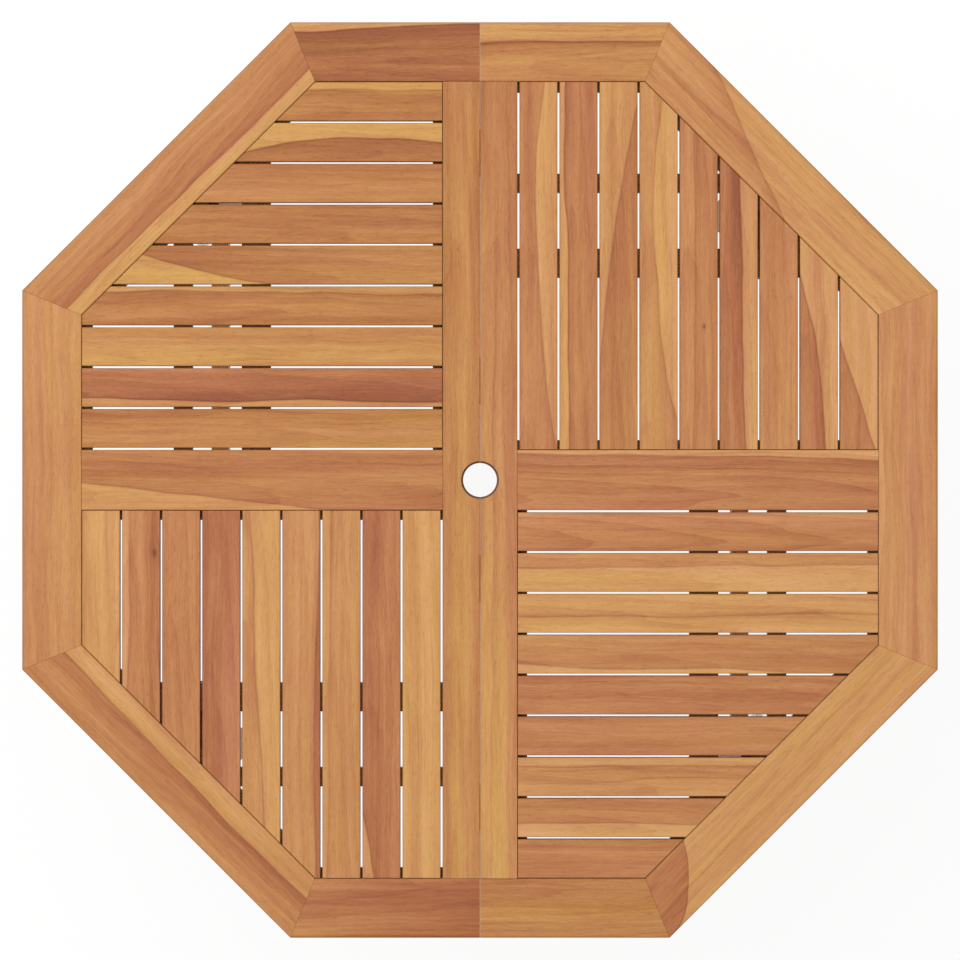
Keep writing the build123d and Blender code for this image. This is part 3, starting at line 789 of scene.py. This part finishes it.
def make_block_teak():
    """Oiled teak on Object coordinates, with the grain along X."""
    material = bpy.data.materials.new("block_teak")
    material.use_nodes = True
    tree = material.node_tree
    group = tree.nodes.new("ShaderNodeGroup")
    group.node_tree = teak_grain
    for socket, values in BLOCK_LOOK.items():
        group.inputs[socket].default_value = values
    put(tree, group.inputs["Place"], tree.nodes.new("ShaderNodeTexCoord").outputs["Object"])
    finish_wood(material, group)
    return material


block_teak = make_block_teak()
dress([f"{half}_{end}_pivot_block" for half in ("left", "right") for end in ("front", "rear")], block_teak)

# Legs: four square teak posts with rounded edges, two to each leg frame.
# The head is rounded about the pivot bolt so that the leg can swing past the top, and the foot is
# chamfered so that it doesn't splinter.
LEG_ROUND = 0.003
FOOT_CHAMFER = 0.002
HEAD_STEPS = 8
pivot_place = Vector(frame["joints"][0]["pos_m"])


def leg(node):
    """A leg: its outline seen from the front, with the head's arc, given its thickness."""
    low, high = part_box(node)
    way = 1 if low.x > 0 else -1
    outer_x, inner_x = (high.x, low.x) if way > 0 else (low.x, high.x)
    pivot_x = (low.x + high.x) / 2
    head = high.z - pivot_place.z
    bm = bmesh.new()
    sweep = asin((high.x - low.x) / 2 / head)
    pivot = (pivot_x, low.y, pivot_place.z)
    arc = spin_point(bm, (pivot_x, low.y, high.z), pivot, (0, 1, 0), sweep * way, HEAD_STEPS)
    corners = [(outer_x, 0), (inner_x, 0), (inner_x, high.z)]
    close_outline(bm, arc + [bm.verts.new((x, low.y, z)) for x, z in corners])
    pull(bm, bm.faces[:], (0, high.y - low.y, 0))
    ease(bm, sharp_edges(bm, Vector((0, 0, 1))), LEG_ROUND, segments=4)
    foot_edges = [edge for edge in sharp_edges(bm) if max(v.co.z for v in edge.verts) < TOLERANCE]
    ease(bm, foot_edges, FOOT_CHAMFER, segments=1)
    head_edges = [edge for edge in sharp_edges(bm) if min(v.co.z for v in edge.verts) > pivot_place.z]
    ease(bm, head_edges, ARRIS, segments=2)
    return bm


leg_looks = {
    "left_front_leg": character(0.56, 0.2),
    "left_rear_leg": character(0.44, 0.0, (0.2, 0.5, 0.0), 0.22),
    "right_front_leg": character(0.66, 0.3, (-0.3, 0.3, 0.0), -0.24),
    "right_rear_leg": character(0.50, 0.1),
}
for node, look in leg_looks.items():
    bm = leg(node)
    lay_grain(bm, (0, 0, 1), (1, 0, 0), look)
    set_piece(node + "_post", bm, oiled_teak, "teak", node.split("_")[0] + "_leg_frame", node)

# Stretchers: one teak rail on edge between the legs of each frame, low down.
# It is tenoned into both legs, and each joint is held by a round hardwood peg right through the leg.
STRETCHER_ROUND = 0.003
PEG_RADIUS = 0.004
PEG_CROWN = 0.0007
PEG_SIDES = 20
DOWEL_TONES = ((0.0, (0.30, 0.17, 0.08)), (0.5, (0.48, 0.30, 0.15)), (1.0, (0.60, 0.41, 0.22)))
DOWEL_MEAN_TONE = 0.5
DOWEL_ROUGHNESS = 0.6
DOWEL_SHEEN = 0.3
DOWEL_RELIEF = 0.3
DOWEL_GRAIN_DEPTH = 0.0003
stretcher_looks = {"left": character(0.55, 0.2), "right": character(0.64, 0.2)}
for half, look in stretcher_looks.items():
    node = half + "_stretcher"
    low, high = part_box(node)
    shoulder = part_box(half + "_rear_leg")[0].y
    bm = plank((low.x, -shoulder, low.z), (high.x, shoulder, high.z))
    ease(bm, sharp_edges(bm, Vector((0, 1, 0))), STRETCHER_ROUND, segments=3)
    lay_grain(bm, (0, 1, 0), (0, 0, 1), look)
    set_piece(node + "_board", bm, oiled_teak, "teak", half + "_leg_frame", node)


def make_dowel_wood():
    """Plain hardwood for pegs and dowels: fine straight grain on Object coordinates, a little dirty."""
    material = bpy.data.materials.new("dowel_wood")
    material.use_nodes = True
    tree = material.node_tree
    place = tree.nodes.new("ShaderNodeTexCoord").outputs["Object"]
    flecks = noise(tree, place, stretch=(900.0, 700.0, 700.0), detail=3.0)
    rings = noise(tree, place, stretch=(60.0, 420.0, 420.0), detail=2.0)
    tone = add_shares(tree, DOWEL_MEAN_TONE, (rings, 0.9), (flecks, 0.7))
    shader = tree.nodes["Principled BSDF"]
    shader.inputs["Specular IOR Level"].default_value = DOWEL_SHEEN
    bump = tree.nodes.new("ShaderNodeBump")
    bump.inputs["Strength"].default_value = DOWEL_RELIEF
    bump.inputs["Distance"].default_value = DOWEL_GRAIN_DEPTH
    put(tree, bump.inputs["Height"], flecks)
    put(tree, shader.inputs["Normal"], bump.outputs["Normal"])
    put(tree, shader.inputs["Base Color"], ramp(tree, tone, DOWEL_TONES))
    put(tree, shader.inputs["Roughness"], add_shares(tree, DOWEL_ROUGHNESS, (flecks, 0.2)))
    return material


dowel_wood = make_dowel_wood()
for half in ("left", "right"):
    node = half + "_stretcher_pegs"
    low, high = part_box(node)
    bm = bmesh.new()
    for way in (-1, 1):
        made = bmesh.ops.create_cone(bm, cap_ends=True, segments=PEG_SIDES, radius1=PEG_RADIUS,
                                     radius2=PEG_RADIUS, depth=high.x - low.x + 2 * PEG_CROWN)["verts"]
        bmesh.ops.rotate(bm, cent=(0, 0, 0), matrix=Matrix.Rotation(pi / 2, 3, "Y"), verts=made)
        middle = ((low.x + high.x) / 2, way * (high.y - PEG_RADIUS), (low.z + high.z) / 2)
        bmesh.ops.translate(bm, vec=middle, verts=made)
    ease(bm, sharp_edges(bm), PEG_CROWN, segments=2)
    set_piece(node + "_set", bm, dowel_wood, "dowel_wood", half + "_leg_frame", node)

# Mitre dowels: sixteen hardwood pins, two glued across each corner joint of the rim.
# They are hidden when the table is together, and keep their CAD shapes.
dress([half + "_mitre_dowels" for half in ("left", "right")], dowel_wood)

# Screws: stainless countersunk screws with a cross recess, through the battens into the slats,
# through the pivot blocks into the battens, and brass ones through the hinge plates into the stiles.
SCREW_SIDES = 16
RECESS_TIP = 0.0023
RECESS_ROOT = 0.0009
RECESS_DEPTH = 0.0016
RECESS_TAPER = 0.6
HEAD_DEPTH = 0.0024
HEAD_SPREAD = 0.012
TIP_TAPER = 0.5
STEEL_HEAD = 0.004
STEEL_SHANK = 0.0019
BRASS_HEAD = 0.0039
BRASS_SHANK = 0.0017
SLAT_SCREW_PROUD = 0.0006
METAL_MEAN_TONE = 0.55
STEEL_ROUGHNESS = 0.44
BRASS_ROUGHNESS = 0.48
BRUSH_RELIEF = 0.2
BRUSH_DEPTH = 0.0001
STEEL_TONES = ((0.0, (0.36, 0.35, 0.34)), (0.5, (0.55, 0.55, 0.54)), (1.0, (0.66, 0.66, 0.65)))
BRASS_TONES = ((0.0, (0.28, 0.17, 0.06)), (0.5, (0.56, 0.38, 0.14)), (1.0, (0.70, 0.51, 0.22)))


def make_metal_marks():
    """Dull spots and fine brush marks on metal."""
    tree, given, result = node_group(
        "metal_marks", [("Place", "Vector")], [("Tone", "Float"), ("Marks", "Float")])
    spots = noise(tree, given["Place"], stretch=(90.0, 90.0, 90.0), detail=4.0)
    marks = noise(tree, given["Place"], stretch=(2600.0, 260.0, 2600.0), detail=2.0)
    put(tree, result["Tone"], add_shares(tree, METAL_MEAN_TONE, (spots, 1.5), (marks, 0.3)))
    put(tree, result["Marks"], marks)
    return tree


metal_marks = make_metal_marks()


def make_metal(name, tones, roughness):
    """Metal with the marks of use in its colour, gloss and surface."""
    material = bpy.data.materials.new(name)
    material.use_nodes = True
    tree = material.node_tree
    group = tree.nodes.new("ShaderNodeGroup")
    group.node_tree = metal_marks
    put(tree, group.inputs["Place"], tree.nodes.new("ShaderNodeTexCoord").outputs["Object"])
    shader = tree.nodes["Principled BSDF"]
    shader.inputs["Metallic"].default_value = 1.0
    put(tree, shader.inputs["Base Color"], ramp(tree, group.outputs["Tone"], tones))
    rough = add_shares(tree, roughness, (group.outputs["Tone"], -0.18), (group.outputs["Marks"], 0.2))
    put(tree, shader.inputs["Roughness"], rough)
    bump = tree.nodes.new("ShaderNodeBump")
    bump.inputs["Strength"].default_value = BRUSH_RELIEF
    bump.inputs["Distance"].default_value = BRUSH_DEPTH
    put(tree, bump.inputs["Height"], group.outputs["Marks"])
    put(tree, shader.inputs["Normal"], bump.outputs["Normal"])
    return material


stainless_steel = make_metal("stainless_steel", STEEL_TONES, STEEL_ROUGHNESS)
brass = make_metal("brass", BRASS_TONES, BRASS_ROUGHNESS)


def edges_of(verts):
    """Edges whose both ends are among the given points."""
    chosen = set(verts)
    return list({edge for vert in verts for edge in vert.link_edges if set(edge.verts) <= chosen})


def draw_edges(bm, edges, centre, step, factor):
    """Extrudes a ring of edges by a step, and scales the new ring about its own middle."""
    made = bmesh.ops.extrude_edge_only(bm, edges=edges)["geom"]
    verts = [item for item in made if isinstance(item, bmesh.types.BMVert)]
    bmesh.ops.scale(bm, vec=(factor, factor, 1), space=Matrix.Translation(-Vector(centre)), verts=verts)
    bmesh.ops.translate(bm, vec=(0, 0, step), verts=verts)
    return edges_of(verts)


def add_screw(bm, place, head_radius, shank_radius, length):
    """A screw that points up, its head's face at the place and a cross recess in it."""
    matrix = Matrix.Translation(place)
    rim = bmesh.ops.create_circle(bm, segments=SCREW_SIDES, radius=head_radius, matrix=matrix)["verts"]
    cross = bmesh.ops.create_circle(bm, segments=SCREW_SIDES, radius=RECESS_TIP, matrix=matrix)["verts"]
    roots = [vert for number, vert in enumerate(cross) if number % 4 > 1]
    bmesh.ops.scale(bm, vec=(RECESS_ROOT / RECESS_TIP,) * 2 + (1,), space=matrix.inverted(), verts=roots)
    rim_edges, cross_edges = edges_of(rim), edges_of(cross)
    bmesh.ops.bridge_loops(bm, edges=rim_edges + cross_edges)
    floor_edges = draw_edges(bm, cross_edges, place, RECESS_DEPTH, RECESS_TAPER)
    bmesh.ops.contextual_create(bm, geom=floor_edges)
    neck = draw_edges(bm, rim_edges, place, HEAD_DEPTH, shank_radius / head_radius)
    tip = draw_edges(bm, neck, place, length - HEAD_DEPTH, TIP_TAPER)
    bmesh.ops.contextual_create(bm, geom=tip)


def screw_places(node):
    """Middles of the screw heads in a CAD node, from the points of their faces."""
    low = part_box(node)[0].z
    heads = []
    for vert in frame["nodes"][node].data.vertices:
        if vert.co.z > low + TOLERANCE:
            continue
        for head in heads:
            if (head[0] - vert.co).length < HEAD_SPREAD:
                head.append(vert.co.copy())
                break
        else:
            heads.append([vert.co.copy()])
    middles = []
    for head in heads:
        low_x, high_x = min(p.x for p in head), max(p.x for p in head)
        low_y, high_y = min(p.y for p in head), max(p.y for p in head)
        middles.append(Vector(((low_x + high_x) / 2, (low_y + high_y) / 2, low)))
    return middles


screw_kinds = {
    "slat_screws": (stainless_steel, "stainless_steel", STEEL_HEAD, STEEL_SHANK, SLAT_SCREW_PROUD),
    "block_screws": (stainless_steel, "stainless_steel", STEEL_HEAD, STEEL_SHANK, 0.0),
    "hinge_screws": (brass, "brass", BRASS_HEAD, BRASS_SHANK, 0.0),
}
for half in ("left", "right"):
    for kind, (material, finish, head_radius, shank_radius, proud) in screw_kinds.items():
        node = f"{half}_{kind}"
        low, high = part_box(node)
        bm = bmesh.new()
        for place in screw_places(node):
            add_screw(bm, place - Vector((0, 0, proud)), head_radius, shank_radius, high.z - low.z)
        bmesh.ops.recalc_face_normals(bm, faces=bm.faces)
        set_piece(node + "_set", bm, material, finish, half + "_half_top", node)

# Pivot hardware: a domed stainless bolt through each block and leg, with washers and a hexagon nut.
# The leg frames turn on these bolts; they keep their CAD shapes.
for half in ("left", "right"):
    dress([half + "_pivot_bolts", half + "_pivot_washers", half + "_pivot_nuts"], stainless_steel)

# Hinges and turn plates: four brass butt hinges under the seam join the half tops, and two brass plates
# on the left stile turn across the seam to lock the table open; they keep their CAD shapes.
dress(["left_hinge_plates", "right_hinge_plates", "hinge_pins"], brass)
dress(["front_turn_plate", "rear_turn_plate", "turn_plate_screws"], brass)

# Studio: a plain white floor that takes a soft shadow, soft white light from all round, and one broad lamp
# above the rear left. The camera looks straight down on the table, as the photo does.
FLOOR_SIZE = 40.0
FLOOR_WHITE = 0.8
FLOOR_SHADING = 0.13
FLOOR_GLOW = 0.89
CAMERA_HEIGHT = 7.0
VIEW_WIDTH = 1.2576
SENSOR = 36.0
SKY_STRENGTH = 0.62
LAMP_POWER = 100.0
LAMP_SIZE = 3.2
LAMP_PLACE = (-1.2, 1.4, 4.6)


def seen_directly(tree):
    """1 for rays from the camera and for those mirrored by metal or passed by glass."""
    path = tree.nodes.new("ShaderNodeLightPath").outputs
    direct = math(tree, "MAXIMUM", path["Is Camera Ray"], path["Is Glossy Ray"])
    return math(tree, "MAXIMUM", direct, path["Is Transmission Ray"])


def make_floor_white():
    """Matt white floor: mostly its own white to the camera, with part of its shading kept for the shadow.

    It is clear from below, so that a camera under it sees the underside of the table.
    """
    material = bpy.data.materials.new("floor_white")
    material.use_nodes = True
    tree = material.node_tree
    tree.nodes.remove(tree.nodes["Principled BSDF"])
    plain = tree.nodes.new("ShaderNodeBsdfDiffuse")
    plain.inputs["Color"].default_value = (FLOOR_WHITE, FLOOR_WHITE, FLOOR_WHITE, 1.0)
    shaded = tree.nodes.new("ShaderNodeBsdfDiffuse")
    shaded.inputs["Color"].default_value = (FLOOR_SHADING, FLOOR_SHADING, FLOOR_SHADING, 1.0)
    white = tree.nodes.new("ShaderNodeEmission")
    white.inputs["Strength"].default_value = FLOOR_GLOW
    shown = tree.nodes.new("ShaderNodeAddShader")
    put(tree, shown.inputs[0], shaded.outputs[0])
    put(tree, shown.inputs[1], white.outputs[0])
    mix = tree.nodes.new("ShaderNodeMixShader")
    put(tree, mix.inputs[0], seen_directly(tree))
    put(tree, mix.inputs[1], plain.outputs[0])
    put(tree, mix.inputs[2], shown.outputs[0])
    clear = tree.nodes.new("ShaderNodeBsdfTransparent")
    one_sided = tree.nodes.new("ShaderNodeMixShader")
    put(tree, one_sided.inputs[0], tree.nodes.new("ShaderNodeNewGeometry").outputs["Backfacing"])
    put(tree, one_sided.inputs[1], mix.outputs[0])
    put(tree, one_sided.inputs[2], clear.outputs[0])
    put(tree, tree.nodes["Material Output"].inputs["Surface"], one_sided.outputs[0])
    return material


bm = bmesh.new()
bmesh.ops.create_grid(bm, x_segments=1, y_segments=1, size=FLOOR_SIZE)
floor_mesh = bpy.data.meshes.new("floor")
bm.to_mesh(floor_mesh)
bm.free()
floor_mesh.materials.append(make_floor_white())
floor = bpy.data.objects.new("floor", floor_mesh)
bpy.context.scene.collection.objects.link(floor)

world = bpy.data.worlds.new("studio")
world.use_nodes = True
sky = world.node_tree.nodes["Background"]
sky.inputs["Color"].default_value = (1.0, 1.0, 1.0, 1.0)
seen_white = math(world.node_tree, "MULTIPLY", seen_directly(world.node_tree), 1.0 - SKY_STRENGTH)
put(world.node_tree, sky.inputs["Strength"], math(world.node_tree, "ADD", seen_white, SKY_STRENGTH))
bpy.context.scene.world = world

lamp_data = bpy.data.lights.new("broad_lamp", "AREA")
lamp_data.energy = LAMP_POWER
lamp_data.size = LAMP_SIZE
lamp = bpy.data.objects.new("broad_lamp", lamp_data)
lamp.location = LAMP_PLACE
lamp.rotation_euler = (-Vector(LAMP_PLACE)).to_track_quat("-Z", "Y").to_euler()
lamp.visible_camera = False
bpy.context.scene.collection.objects.link(lamp)

camera_data = bpy.data.cameras.new("camera")
camera_data.sensor_width = SENSOR
camera_data.lens = SENSOR * CAMERA_HEIGHT / VIEW_WIDTH
camera = bpy.data.objects.new("camera", camera_data)
camera.location = (0, 0, top_z + CAMERA_HEIGHT)
bpy.context.scene.collection.objects.link(camera)
bpy.context.scene.camera = camera
bpy.context.scene.view_settings.view_transform = "Standard"
